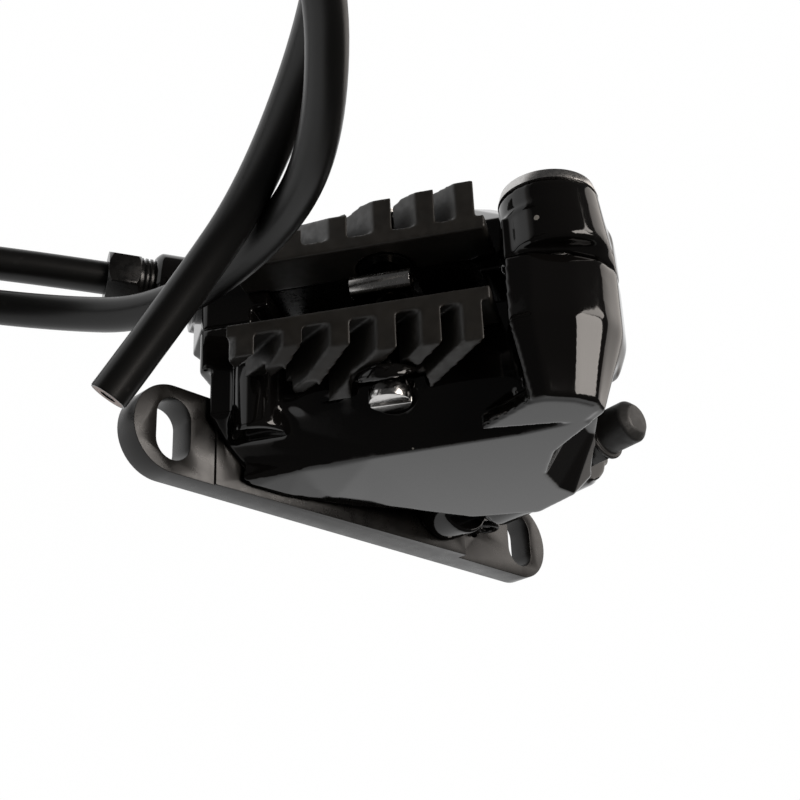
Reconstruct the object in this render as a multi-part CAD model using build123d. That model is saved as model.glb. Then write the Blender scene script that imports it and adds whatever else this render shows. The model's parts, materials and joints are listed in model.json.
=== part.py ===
from build123d import *
import os
from math import cos, pi, radians, sin, tan

# Flat mount hydraulic disc brake caliper for a bicycle fork, in millimetres.
# Frame: X along the adapter plate towards the bleed end, -Y towards the outboard face,
# +Z away from the fork. The origin is on the plate's underside, midway between its slots.

# shared clearances and overruns
overrun = 40.0
bolt_clearance = 0.05
sliding_clearance = 0.05
seat_gap = 0.02
soft_gap = 0.1

# adapter plate: it bolts to the fork and carries the caliper
slot_spacing = 70.0
slot_width = 5.5
slot_length = 9.0
plate_width = 12.7
plate_thickness = 4.2
plate_edge_break = 0.35
step_low = 0.4
step_high = 1.6
step_start = -28.2
step_end = 19.8
fixing_middle = -2.6
fixing_spacing = 34.0
fixing_radius = 2.5
fixing_head_radius = 4.2
fixing_head_height = 2.6
fixing_head_depth = 2.9
fixing_reach = 4.0
fixing_socket_across = 4.0
fixing_socket_depth = 1.5
fixing_blind_extra = 0.5
clip_from_bolt = 9.2
clip_hole_y = -1.2
clip_hole_radius = 0.9
clip_wire_radius = 0.5
clip_ring_radius = 1.5

# rotor plane and the caliper's own axes: T along the rotor's edge, N away from the hub
tilt = 58.0
piston_x = -7.1
piston_z = 18.4
rotor_y = 16.5
rotor_radius = 90.0
rotor_thickness = 1.8
rotor_clearance = 0.6
rotor_edge = 4.6

# pistons and their seals
piston_u = 1.5
piston_w = -3.5
piston_radius = 10.5
piston_length = 8.4
piston_wall = 1.8
piston_floor = 2.4
piston_edge_break = 0.4
bore_rest_gap = 0.3
piston_travel = 1.5
seal_groove_width = 1.9
seal_groove_depth = 1.6
seal_groove_place = 3.2
seal_side_gap = 0.1

# pads
friction_face = 1.25
backplate_face = 4.4
backplate_thickness = 1.8
friction_half_width = 13.4
friction_low = -10.4
friction_high = 3.9
friction_corner = 2.6
backplate_half_width = 14.8
backplate_low = -11.4
backplate_high = 12.3
backplate_corner = 1.6
friction_groove_width = 1.0
friction_groove_depth = 1.6
pocket_side_gap = 0.25
pocket_back_gap = 0.3

# cooling fins on top of each backplate
fin_left = -18.2
fin_right = 17.4
fin_rise = 6.4
fin_web_thickness = 1.9
rib_edges = [-14.1, -7.5, -1.0, 5.2, 11.1, 16.5]
rib_reaches = [2.9, 2.4, 3.5, 5.1, 5.3, 5.7]
rib_thickness = 2.9
rib_outer = 14.2
rib_low = 12.9
rib_back = 8.6
fin_notch_gap = 0.35

# pad axle, its clip and the pad spring
axle_u = 2.3
axle_w = 13.8
axle_radius = 1.75
axle_head_radius = 2.85
axle_head_length = 1.9
axle_head_face = 16.1
axle_slot_width = 0.9
axle_slot_depth = 0.8
axle_end = -13.5
axle_neck_radius = 1.25
axle_neck_length = 0.9
axle_clip_radius = 2.4
axle_clip_thickness = 0.6
axle_clip_room = 0.3
axle_ear_radius = 3.6
axle_lug_radius = 4.9
axle_lug_start = 12.5
axle_lug_inner = 14.5
axle_lug_outer = 19.6
axle_lug_low = 3.9
axle_lug_low_radius = 3.8
axle_far_lug_radius = 2.7
axle_far_lug_end = 12.3
axle_far_lug_length = 3.6
axle_recess_radius = 3.45
axle_hole_gap = 0.12
spring_sheet = 0.5
spring_half_width = 4.1
spring_u = 2.5
spring_rise = 3.4
spring_roll_radius = 1.25
spring_knee_rise = 0.1
spring_leg_low = 8.4
spring_leg_spread = 2.7
spring_hole_gap = 0.2

# caliper body, both halves
housing_radius = 14.0
body_top = 12.5
half_inner = 2.3
shoulder_start = 13.6
shoulder_end = 20.5
far_shoulder_start = 10.4
far_shoulder_end = 17.4
comb_gap = 0.35
comb_room = 11.0
barrel_u = 25.4
barrel_w = 14.4
barrel_size = 14.0
barrel_waist = 9.7
barrel_outer = 20.3
barrel_cap_shoulder = 6.0
barrel_cap_length = 10.4
barrel_cap_radius = 5.6
barrel_cap_foot_radius = 6.9
bridge_left = -25.4
bridge_right = -17.4
bridge_low = 3.6
bridge_depth = 6.4
bridge_corner = 1.6
body_bolt_radius = 3.0
body_bolt_head_radius = 4.9
body_bolt_head_height = 1.4
bolt_seat_gap = 0.4
body_bolt_reach = 11.0
body_bolt_socket_across = 4.0
body_bolt_socket_depth = 0.9
lower_bolt_u = -20.2
lower_bolt_w = 5.6
lower_bolt_radius = 2.5
lower_bolt_head_radius = 3.9
lower_bolt_reach = 6.4
lower_bolt_seat = 9.6
left_boss_u = -16.8
left_boss_w = 8.1
left_boss_radius = 4.4
left_boss_end = 15.6
scoop_radius = 4.2
scoop_start_u = -14.5
scoop_end_u = -2.2
scoop_away = 17.6
scoop_w = 13.4
scoop_lean = 1.6
foot_back = 7.2
fixing_boss_radius = 5.7
fixing_boss_height = 5.4
fixing_boss_shift = 0.6
passage_radius = 1.0
crossover_u = -23.6
crossover_w = 9.6
ring_radius = 1.9
ring_cord = 0.6
ring_squeeze_depth = 1.0

# outlines of the halves as shares of the housing radius, in T and N from the piston's centre
body_outline_shares = [
    (-1.664, 0.893),
    (-1.729, 0.500),
    (-1.114, -0.914),
    (0.107, -2.200),
    (0.900, -2.421),
    (1.429, -2.036),
    (1.964, -1.464),
    (1.929, -0.714),
    (2.050, 0.000),
    (2.143, 0.571),
    (1.429, 0.893),
    (0.571, 0.893),
    (-0.286, 0.893),
]
face_outline_shares = [
    (-1.486, 0.429),
    (-1.521, 0.257),
    (-0.893, -0.464),
    (-0.071, -0.993),
    (0.464, -1.393),
    (1.179, -1.500),
    (1.607, -1.107),
    (1.571, -0.464),
    (1.786, -0.107),
    (2.029, 0.571),
    (1.750, 0.871),
    (0.429, 0.707),
    (-0.357, 0.486),
]
inboard_outline_shares = [
    (-1.721, 0.893),
    (-2.179, 0.100),
    (-1.950, -0.950),
    (-1.250, -1.200),
    (0.100, -1.171),
    (1.100, -1.086),
    (1.521, -0.750),
    (1.679, -0.200),
    (2.050, 0.343),
    (1.714, 0.786),
    (1.429, 0.893),
    (0.571, 0.893),
    (-0.286, 0.893),
]
inboard_face_outline_shares = [
    (-1.000, 0.329),
    (-1.679, -0.143),
    (-1.600, -0.679),
    (-0.929, -1.043),
    (0.071, -1.043),
    (0.821, -0.957),
    (1.071, -0.643),
    (1.157, -0.250),
    (1.257, 0.100),
    (1.171, 0.314),
    (0.929, 0.400),
    (0.286, 0.414),
    (-0.357, 0.400),
]

# the column's sections as shares of its size, from the upper bolt's axis
barrel_seam_shares = [
    (-0.436, 0.321),
    (-0.179, 0.357),
    (0.221, 0.221),
    (0.443, 0.071),
    (0.564, -0.171),
    (0.571, -0.600),
    (0.293, -0.779),
    (-0.457, -0.600),
]
barrel_waist_shares = [
    (-0.436, 0.414),
    (-0.207, 0.464),
    (0.193, 0.343),
    (0.443, 0.150),
    (0.557, -0.136),
    (0.564, -0.600),
    (0.293, -0.779),
    (-0.457, -0.600),
]
barrel_end_shares = [
    (-0.314, 0.257),
    (-0.157, 0.293),
    (0.100, 0.171),
    (0.264, 0.007),
    (0.300, -0.243),
    (0.286, -0.529),
    (0.079, -0.671),
    (-0.350, -0.529),
]

# bleed nipple and its cap, square to the plate
nipple_x = 22.3
nipple_y = 5.4
nipple_tilt = 4.0
boss_radius = 5.7
boss_low = 9.0
boss_top = 28.4
nipple_seat_depth = 7.0
nipple_thread_radius = 2.5
nipple_hex_across = 7.0
nipple_hex_height = 3.2
nipple_collar_radius = 3.4
nipple_collar_height = 0.8
nipple_stem_radius = 1.9
nipple_stem_height = 3.6
nipple_barb_radius = 2.2
nipple_barb_height = 1.6
nipple_bore_radius = 0.6
nipple_port_depth = 5.0
cap_wall = 1.0
cap_top = 1.2
cap_gap = 0.05
cap_skirt = 0.7
cap_edge_break = 1.1

# hose inlet, nut, olive, insert and the hose itself
inlet_x = -29.9
inlet_y = 30.7
inlet_z = -10.3
inlet_down = 26.0
inlet_out = -2.0
inlet_boss_radius = 5.0
inlet_boss_foot_radius = 6.4
inlet_boss_length = 13.0
inlet_boss_chamfer = 0.9
inlet_bore_depth = 9.6
nut_across = 8.0
nut_hex_length = 4.8
nut_thread_shown = 2.1
nut_thread_radius = 3.6
nut_thread_length = 6.6
nut_chamfer = 0.6
nut_turn = 30.0
nut_ring_count = 3
nut_ring_depth = 0.25
nut_ring_width = 0.35
hexagon_corner_share = 0.577
hose_radius = 2.5
hose_bore_radius = 1.1
olive_length = 2.2
olive_wall = 0.55
insert_head_thickness = 0.8
insert_head_radius = 2.3
insert_length = 7.0
insert_bore_radius = 0.6

# the hose's route in the frame above, from its straight start at the nut to its free end
hose_straight = 15.5
hose_route = [
    (-62.5, 31.2, -27.0),
    (-83.0, 31.0, -31.6),
    (-104.5, 30.7, -28.6),
    (-123.5, 30.3, -17.8),
    (-137.0, 29.9, -0.2),
    (-142.6, 29.6, 21.0),
    (-138.0, 29.2, 42.0),
    (-125.0, 28.8, 60.0),
    (-105.9, 28.2, 70.4),
    (-82.9, 28.0, 71.4),
    (-58.5, 29.6, 61.9),
    (-43.9, 19.5, 45.3),
    (-37.7, 17.2, 27.9),
    (-37.4, 16.6, 3.4),
    (-45.5, 21.7, -14.2),
    (-66.0, 24.2, -28.8),
    (-88.7, 24.6, -36.2),
    (-112.2, 24.6, -34.0),
    (-132.8, 25.0, -21.4),
    (-146.4, 26.1, -0.8),
    (-151.0, 27.6, 23.4),
    (-145.6, 28.7, 47.0),
    (-130.8, 29.8, 66.0),
    (-109.4, 31.0, 77.6),
    (-85.4, 32.6, 79.4),
    (-64.2, 34.2, 70.3),
    (-50.0, 33.0, 53.0),
    (-43.0, 21.0, 32.0),
    (-45.3, 9.5, 20.0),
]
hose_end = (-50.5, -3.1, 12.5)
turn_share = 0.45

# worked out from the above
c_tilt = cos(radians(tilt))
s_tilt = sin(radians(tilt))
clip_hole_x = fixing_middle + fixing_spacing / 2 + clip_from_bolt
fin_top = axle_w + fin_rise
spring_top = axle_w + spring_rise
spring_knee = axle_w + spring_knee_rise
rotor_middle = (piston_x, rotor_y, piston_z)
rotor_plane = Plane(origin=rotor_middle, x_dir=(c_tilt, 0, s_tilt), z_dir=(0, -1, 0))
backplate_back = backplate_face + backplate_thickness
bore_start = backplate_back + pocket_back_gap
bore_end = backplate_back + piston_length + bore_rest_gap
pocket_half_width = backplate_half_width + pocket_side_gap
hub_w = rotor_edge - rotor_radius
step_slope = (step_high - step_low) / (step_end - step_start)
slot_cut_radius = rotor_radius + rotor_clearance
wedge_middle = (step_start + step_end) / 2
wedge_height = plate_thickness + (step_low + step_high) / 2


def at_side(side, away):
    """The rotor plane moved outboard (side 1) or inboard (side -1) by the distance away."""
    return rotor_plane.offset(side * away)


def slab(sketch, side, start, end):
    """A sketch in T and N, extruded between two distances from the rotor's middle."""
    return extrude(at_side(side, start) * sketch, amount=side * (end - start))


def outline(shares, size):
    """A closed face from points given as shares of one size."""
    points = [(a * size, b * size) for a, b in shares]
    return make_face(Polyline(*points, close=True))


def block(u0, u1, w0, w1):
    """A rectangle in T and N between its lowest and highest sides."""
    return Pos((u0 + u1) / 2, (w0 + w1) / 2) * Rectangle(u1 - u0, w1 - w0)


def disc(u, w, radius):
    return Pos(u, w) * Circle(radius)


def hexagon(across):
    return RegularPolygon(radius=across / 2, side_count=6, major_radius=False)


def row_box(x0, x1, y0, y1, z0, z1):
    """A box in the part's own frame between its lowest and highest corners."""
    centre = ((x0 + x1) / 2, (y0 + y1) / 2, (z0 + z1) / 2)
    return Pos(*centre) * Box(x1 - x0, y1 - y0, z1 - z0)


def rod(origin, direction, radius, start, end):
    """A cylinder along a direction between two distances from an origin."""
    plane = Plane(origin=origin, z_dir=direction)
    return extrude(plane.offset(start) * Circle(radius), amount=end - start)


def wedge_plane():
    """The top of the plate's raised step, which leans a little along the plate."""
    origin = (wedge_middle, 0, wedge_height)
    return Plane(origin=origin, x_dir=(1, 0, step_slope), z_dir=(-step_slope, 0, 1))


def fixing_places():
    return [fixing_middle - fixing_spacing / 2, fixing_middle + fixing_spacing / 2]


def adapter_plate():
    """The plate with rounded ends, a slot across each end and a leaning step between them."""
    body = extrude(SlotOverall(slot_spacing + plate_width, plate_width), amount=plate_thickness)
    half_width = plate_width / 2
    step_top = plate_thickness + step_high + step_low
    step = row_box(step_start, step_end, -half_width, half_width, 0, step_top)
    body += step - wedge_tool()
    body = chamfer(body.edges().filter_by(Axis.Z, reverse=True).group_by(Axis.Z)[0], plate_edge_break)
    slot = extrude(Rot(0, 0, 90) * SlotOverall(slot_length, slot_width), amount=plate_thickness)
    for x in (-slot_spacing / 2, slot_spacing / 2):
        body -= Pos(x, 0, 0) * slot
    for x in fixing_places():
        body -= rod((x, 0, 0), (0, 0, 1), fixing_radius + bolt_clearance, 0, plate_thickness + overrun)
        body -= rod((x, 0, 0), (0, 0, 1), fixing_head_radius + bolt_clearance, 0, fixing_head_depth)
    body -= rod((clip_hole_x, clip_hole_y, 0), (0, 0, 1), clip_hole_radius, 0, plate_thickness)
    return body


def wedge_tool():
    """What lies above the step's leaning top, for cutting a block down to it."""
    return extrude(wedge_plane() * Rectangle(overrun + overrun, overrun), amount=overrun)


def fixing_bolt(x):
    """A cap screw from below, through the plate into the foot, its head sunk in the plate."""
    head_top = fixing_head_depth
    bolt = rod((x, 0, 0), (0, 0, 1), fixing_head_radius, head_top - fixing_head_height, head_top)
    bolt += rod((x, 0, 0), (0, 0, 1), fixing_radius, head_top, wedge_height + fixing_reach)
    socket = Pos(x, 0, head_top - fixing_head_height) * extrude(
        hexagon(fixing_socket_across), amount=fixing_socket_depth
    )
    return bolt - socket


def fixing_clip():
    """A small wire clip that stands in the plate beside the foot."""
    low = plate_thickness / 2
    ring_low = plate_thickness + clip_ring_radius
    wire = rod((clip_hole_x, clip_hole_y, 0), (0, 0, 1), clip_wire_radius, low, ring_low)
    ring_middle = (clip_hole_x, clip_hole_y, ring_low + clip_ring_radius)
    ring = Plane(origin=ring_middle, z_dir=(0, 1, 0)) * Torus(clip_ring_radius, clip_wire_radius)
    return wire + ring


def body_blank(side, inner_shares, face_shares, start, end):
    """A half's main form: straight near the rotor, leaning in to its face further out."""
    inner = outline(inner_shares, housing_radius)
    face = outline(face_shares, housing_radius)
    core = slab(inner, side, half_inner, start)
    shoulder = loft([at_side(side, start) * inner, at_side(side, end) * face], ruled=True)
    return core + shoulder


def rotor_cut(side):
    """The gap that the rotor's rim turns in, on one side of its middle."""
    rim = disc(0, hub_w, slot_cut_radius + rotor_clearance)
    return slab(rim, side, 0, half_inner)


def pocket_cut(side):
    """The pad's pocket, open at the top, with room for the ends of the backplate."""
    low = backplate_low - pocket_side_gap
    pocket = block(-pocket_half_width, pocket_half_width, low, overrun)
    return slab(pocket, side, 0, backplate_back + pocket_back_gap)


def bore_cut(side):
    """The piston's bore with the groove for its square seal."""
    bore = disc(piston_u, piston_w, piston_radius + sliding_clearance)
    groove = disc(piston_u, piston_w, piston_radius + seal_groove_depth)
    start = bore_start + seal_groove_place
    tool = slab(bore, side, backplate_back - piston_travel, bore_end)
    return tool + slab(groove, side, start, start + seal_groove_width)


def barrel_section(shares):
    """The column's section round the upper bolt's axis."""
    return Pos(barrel_u, barrel_w) * outline(shares, barrel_size)


def barrel_near():
    """The outboard part of the column at the bleed end, with its tapered lower end."""
    seam = at_side(1, 0) * barrel_section(barrel_seam_shares)
    waist = at_side(1, barrel_waist) * barrel_section(barrel_waist_shares)
    end = at_side(1, barrel_outer) * barrel_section(barrel_end_shares)
    return loft([seam, waist], ruled=True) + loft([waist, end], ruled=True)


def barrel_far():
    """The inboard part of the column, with a round cap that carries the bolt's head."""
    top = slab(barrel_section(barrel_seam_shares), -1, 0, barrel_cap_shoulder)
    foot = at_side(-1, barrel_cap_shoulder) * disc(barrel_u, barrel_w, barrel_cap_foot_radius)
    seat = at_side(-1, barrel_cap_length) * disc(barrel_u, barrel_w, barrel_cap_radius)
    return top + loft([foot, seat])


def bridge(side):
    """The part of a half that reaches the other one past the rotor at the hose end."""
    sketch = block(bridge_left, bridge_right, bridge_low, body_top)
    left = sketch.vertices().group_by(Axis.X)[0]
    return slab(fillet(left, bridge_corner), side, 0, bridge_depth)


def nipple_axis():
    return (0, sin(radians(nipple_tilt)), cos(radians(nipple_tilt)))


def nipple_point(height):
    """A point on the nipple's axis at a height above the plate's underside."""
    run = (height - boss_top) / cos(radians(nipple_tilt))
    axis = nipple_axis()
    return (nipple_x + axis[0] * run, nipple_y + axis[1] * run, boss_top + axis[2] * run)


def bleed_boss():
    """The column that carries the bleed nipple, with its machined rim."""
    return rod(nipple_point(boss_top), nipple_axis(), boss_radius, boss_low - boss_top, 0)


def bleed_spotface():
    """The room above the boss's machined seat."""
    return rod(nipple_point(boss_top), nipple_axis(), boss_radius, 0, overrun)


def bleed_cuts():
    """The nipple's threaded hole and the passage below it."""
    top = nipple_point(boss_top)
    thread = nipple_thread_radius + bolt_clearance
    port_end = nipple_seat_depth + nipple_port_depth
    seat = rod(top, nipple_axis(), thread, -nipple_seat_depth, 0)
    return seat + rod(top, nipple_axis(), passage_radius, -port_end, -nipple_seat_depth)


def axle_lug():
    """The hump that carries the axle's head, sloping down towards the outboard face."""
    top = disc(axle_u, axle_w, axle_lug_radius)
    low = disc(axle_u, axle_lug_low, axle_lug_low_radius)
    wall_sketch = top + block(axle_u - axle_lug_radius, axle_u + axle_lug_radius, body_top, axle_w)
    wall = slab(wall_sketch, 1, axle_lug_start, axle_lug_inner)
    return wall + loft([at_side(1, axle_lug_inner) * top, at_side(1, axle_lug_outer) * low])


def axle_far_lug():
    """The small lug that holds the axle's far end."""
    radius = axle_far_lug_radius
    lug = disc(axle_u, axle_w, radius)
    lug += block(axle_u - radius, axle_u + radius, body_top - radius, axle_w)
    return slab(lug, -1, axle_far_lug_end - axle_far_lug_length, axle_far_lug_end)


def shoulder_details():
    """The round boss over the lower bolt at the hose end."""
    boss = disc(left_boss_u, left_boss_w, left_boss_radius)
    return slab(boss, 1, backplate_back + pocket_back_gap, left_boss_end)


def scoop_cut():
    """A scooped hollow along the shoulder between the round boss and the axle's hump."""
    start = rotor_plane.from_local_coords((scoop_start_u, scoop_w, scoop_away))
    end = rotor_plane.from_local_coords((scoop_end_u, scoop_w - scoop_lean, scoop_away + scoop_lean))
    plane = Plane(origin=start, z_dir=end - start)
    return extrude(plane * Circle(scoop_radius), amount=(end - start).length)


def comb_cut(side):
    """The room that the pad's comb needs beside the column."""
    room = block(fin_left - comb_gap, fin_right + comb_gap, body_top, overrun)
    return slab(room, side, 0, comb_room)


def axle_cut(side):
    return slab(disc(axle_u, axle_w, axle_radius + axle_hole_gap), side, 0, overrun)


def bolt_cuts(side):
    """Holes for the two bolts that hold the halves together."""
    upper = disc(barrel_u, barrel_w, body_bolt_radius + bolt_clearance)
    lower = disc(lower_bolt_u, lower_bolt_w, lower_bolt_radius + bolt_clearance)
    return slab(upper, side, 0, body_bolt_reach) + slab(lower, side, 0, lower_bolt_reach)


def plate_cut():
    """The room of the adapter plate and its step, which the outboard half stands on."""
    far = overrun + overrun
    foot = wedge_plane().offset(-overrun) * Rectangle(far + overrun, overrun)
    tool = extrude(foot, amount=overrun)
    return tool - row_box(-far, far, foot_back, far, -far, far)


def foot_boss():
    """The foot's boss round the threaded hole at the bleed end."""
    place = (fixing_places()[1], fixing_boss_shift, 0)
    return rod(place, (0, 0, 1), fixing_boss_radius, 0, wedge_height + fixing_boss_height)


def foot_hole(x):
    """A blind threaded hole in the foot, up from the plate."""
    top = wedge_height + fixing_reach + fixing_blind_extra
    return rod((x, 0, 0), (0, 0, 1), fixing_radius + bolt_clearance, 0, top)


def outboard_body_half():
    """The half on the adapter plate, with the bleed boss and the foot."""
    body = body_blank(1, body_outline_shares, face_outline_shares, shoulder_start, shoulder_end)
    body += barrel_near()
    body += bridge(1)
    body -= comb_cut(1)
    body += axle_lug()
    body += shoulder_details()
    body += bleed_boss()
    body += foot_boss()
    body -= plate_cut()
    body -= rotor_cut(1)
    body -= pocket_cut(1)
    body -= bore_cut(1)
    body -= bolt_cuts(1)
    body -= axle_cut(1)
    body -= slab(disc(axle_u, axle_w, axle_recess_radius), 1, axle_head_face - axle_head_length, overrun)
    body -= scoop_cut()
    for x in fixing_places():
        body -= foot_hole(x)
    body -= bleed_spotface()
    body -= bleed_cuts()
    body -= slab(disc(crossover_u, crossover_w, passage_radius), 1, 0, ring_squeeze_depth)
    return body


def inlet_direction():
    """The way the hose leaves: along the plate, a little down and a little outboard."""
    down = radians(inlet_down)
    out = radians(inlet_out)
    return (-cos(down) * cos(out), -cos(down) * sin(out), -sin(down))


def inlet_point(away):
    d = inlet_direction()
    return (inlet_x + d[0] * away, inlet_y + d[1] * away, inlet_z + d[2] * away)


def inlet_boss():
    d = inlet_direction()
    face = inlet_point(0)
    tip = rod(face, d, inlet_boss_radius, -inlet_boss_length, 0)
    tip = chamfer(tip.edges().group_by(Axis.X)[0], inlet_boss_chamfer)
    foot = rod(face, d, inlet_boss_foot_radius, -inlet_boss_length, -inlet_boss_length / 2)
    return tip + foot


def far_bolt_cuts():
    """Through holes for the two bolts from the inboard side, and the seats of their heads."""
    upper = disc(barrel_u, barrel_w, body_bolt_radius + bolt_clearance)
    upper_seat = disc(barrel_u, barrel_w, body_bolt_head_radius + bolt_seat_gap)
    lower = disc(lower_bolt_u, lower_bolt_w, lower_bolt_radius + bolt_clearance)
    lower_seat = disc(lower_bolt_u, lower_bolt_w, lower_bolt_head_radius + bolt_clearance)
    through = slab(upper, -1, 0, overrun) + slab(lower, -1, 0, overrun)
    seats = slab(upper_seat, -1, barrel_cap_length, overrun)
    return through + seats + slab(lower_seat, -1, lower_bolt_seat, overrun)


def inboard_body_half():
    inner = inboard_outline_shares
    face = inboard_face_outline_shares
    body = body_blank(-1, inner, face, far_shoulder_start, far_shoulder_end)
    body += barrel_far()
    body += bridge(-1)
    body -= comb_cut(-1)
    body += axle_far_lug()
    body += inlet_boss()
    body -= rotor_cut(-1)
    body -= pocket_cut(-1)
    body -= bore_cut(-1)
    body -= far_bolt_cuts()
    body -= axle_cut(-1)
    clip_room = disc(axle_u, axle_w, axle_clip_radius + axle_clip_room)
    body -= slab(clip_room, -1, axle_far_lug_end, overrun)
    thread = nut_thread_radius + bolt_clearance
    body -= rod(inlet_point(0), inlet_direction(), thread, -inlet_bore_depth, overrun)
    seal_seat = disc(crossover_u, crossover_w, ring_radius + ring_cord + seat_gap)
    body -= slab(seal_seat, -1, 0, ring_squeeze_depth)
    return body


def piston(side):
    """A hollow cup piston, its open end towards the pad."""
    start = backplate_back
    cup = slab(disc(piston_u, piston_w, piston_radius), side, start, start + piston_length)
    hollow = disc(piston_u, piston_w, piston_radius - piston_wall)
    cup -= slab(hollow, side, start, start + piston_length - piston_floor)
    return cup


def piston_seal(side):
    """The square ring that seals the piston and draws it back."""
    start = bore_start + seal_groove_place + seal_side_gap
    end = bore_start + seal_groove_place + seal_groove_width - seal_side_gap
    ring = disc(piston_u, piston_w, piston_radius + seal_groove_depth - soft_gap)
    ring -= disc(piston_u, piston_w, piston_radius + seat_gap)
    return slab(ring, side, start, end)


def pad_backplate(side):
    """The steel plate behind the friction block, with an ear round the axle."""
    plate = block(-backplate_half_width, backplate_half_width, backplate_low, backplate_high)
    plate = fillet(plate.vertices(), backplate_corner)
    plate = plate + axle_ear(0) - disc(axle_u, axle_w, axle_radius + axle_hole_gap + soft_gap)
    return slab(plate, side, backplate_face, backplate_back)


def axle_ear(gap):
    """The ear round the axle, widened by a gap."""
    radius = axle_ear_radius + gap
    return block(axle_u - radius, axle_u + radius, 0, axle_w) + disc(axle_u, axle_w, radius)


def pad_friction(side):
    """The friction block, with a groove down its middle."""
    face = block(-friction_half_width, friction_half_width, friction_low, friction_high)
    face = fillet(face.vertices(), friction_corner)
    pad = slab(face, side, friction_face, backplate_face)
    half = friction_groove_width / 2
    groove = block(-half, half, friction_low - overrun, friction_high + overrun)
    return pad - slab(groove, side, friction_face, friction_face + friction_groove_depth)


def across_plane(u):
    """A plane square to T at a place along it, with the outboard way first and N second."""
    origin = rotor_plane.from_local_coords((u, 0, 0))
    return Plane(origin=origin, x_dir=rotor_plane.z_dir, z_dir=-rotor_plane.x_dir)


def rib(side, right, reach):
    """One slanted rib: its top stops at its own reach and its foot goes further out."""
    start = backplate_face + fin_web_thickness
    points = [
        (right - rib_thickness, fin_top),
        (right, fin_top),
        (right - rib_back, rib_low),
        (right - rib_back - rib_thickness, rib_low),
    ]
    body = slab(make_face(Polyline(*points, close=True)), side, start, rib_outer)
    top_end = side * (start + reach)
    low_end = side * (rib_outer + seat_gap)
    far = side * (rib_outer + overrun)
    top = fin_top + seat_gap
    slope = make_face(Polyline((top_end, top), (low_end, rib_low), (far, rib_low), (far, top), close=True))
    return body - extrude(across_plane(right + overrun) * slope, amount=overrun + overrun + overrun)


def pad_fins(side):
    """The finned comb on top of the backplate."""
    web = block(fin_left, fin_right, body_top + comb_gap, fin_top)
    web += block(-backplate_half_width, backplate_half_width, backplate_high, fin_top)
    web -= axle_ear(fin_notch_gap)
    comb = slab(web, side, backplate_face, backplate_face + fin_web_thickness)
    for right, reach in zip(rib_edges, rib_reaches):
        comb += rib(side, right, reach)
    comb -= slab(axle_ear(0), side, 0, rib_outer)
    near_hump = disc(axle_u, axle_w, axle_lug_radius + fin_notch_gap)
    comb -= slab(near_hump, side, axle_lug_start - fin_notch_gap, rib_outer + overrun)
    beyond = block(fin_left - overrun, fin_left, -overrun, overrun)
    return comb - slab(beyond, side, 0, rib_outer + overrun)


def pad_axle():
    """The screw that the pads hang on, with a slotted head in the outboard half."""
    face = axle_head_face
    half_slot = axle_slot_width / 2
    shank = slab(disc(axle_u, axle_w, axle_radius), 1, axle_end, face)
    head = slab(disc(axle_u, axle_w, axle_head_radius), 1, face - axle_head_length, face)
    slot = block(axle_u - overrun, axle_u + overrun, axle_w - half_slot, axle_w + half_slot)
    return shank + head - slab(slot, 1, face - axle_slot_depth, face)


def axle_clip():
    """The snap ring on the axle's inboard end."""
    ring = disc(axle_u, axle_w, axle_clip_radius) - disc(axle_u, axle_w, axle_radius + seat_gap)
    return slab(ring, -1, axle_far_lug_end, axle_far_lug_end + axle_clip_thickness)


def spring_leg(side):
    """One leg of the spring as a bent strip, seen along T."""
    inner = [
        (side * seat_gap, spring_top - spring_roll_radius),
        (side * (spring_leg_spread - spring_sheet), spring_knee),
        (side * (spring_leg_spread - spring_sheet), spring_leg_low),
    ]
    outer = [
        (side * spring_leg_spread, spring_leg_low),
        (side * spring_leg_spread, spring_knee + spring_sheet),
        (side * spring_roll_radius, spring_top - spring_sheet),
    ]
    strip = make_face(Polyline(*inner, *outer, close=True))
    plane = across_plane(spring_u + spring_half_width)
    return extrude(plane * strip, amount=spring_half_width + spring_half_width)


def pad_spring():
    """A bent sheet spring between the pads, rolled at its top and threaded on the axle."""
    start = rotor_plane.from_local_coords((spring_u - spring_half_width, spring_top, 0))
    roll = Plane(origin=start, z_dir=rotor_plane.x_dir)
    half = spring_sheet / 2
    width = spring_half_width + spring_half_width
    tube = extrude(roll * Circle(spring_roll_radius + half), amount=width)
    bore = extrude(roll * Circle(spring_roll_radius - half), amount=width)
    spring = spring_leg(1) + spring_leg(-1) + tube - bore
    hole = disc(axle_u, axle_w, axle_radius + spring_hole_gap)
    return spring - slab(hole, 1, -overrun, overrun)


def upper_body_bolt():
    """The bolt through the column, its head on the inboard side."""
    seat = barrel_cap_length
    top = seat + body_bolt_head_height
    bolt = slab(disc(barrel_u, barrel_w, body_bolt_radius), -1, -body_bolt_reach, seat)
    bolt += slab(disc(barrel_u, barrel_w, body_bolt_head_radius), -1, seat, top)
    socket = Pos(barrel_u, barrel_w) * hexagon(body_bolt_socket_across)
    return bolt - slab(socket, -1, top - body_bolt_socket_depth, top)


def lower_body_bolt():
    """The bolt at the hose end, its head on the inboard side."""
    seat = lower_bolt_seat
    top = seat + fixing_head_height
    bolt = slab(disc(lower_bolt_u, lower_bolt_w, lower_bolt_radius), -1, -lower_bolt_reach, seat)
    bolt += slab(disc(lower_bolt_u, lower_bolt_w, lower_bolt_head_radius), -1, seat, top)
    socket = Pos(lower_bolt_u, lower_bolt_w) * hexagon(fixing_socket_across)
    return bolt - slab(socket, -1, top - fixing_socket_depth, top)


def crossover_seal():
    place = at_side(-1, ring_squeeze_depth / 2) * Pos(crossover_u, crossover_w)
    return place * Torus(ring_radius, ring_squeeze_depth / 2 - seat_gap)


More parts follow.
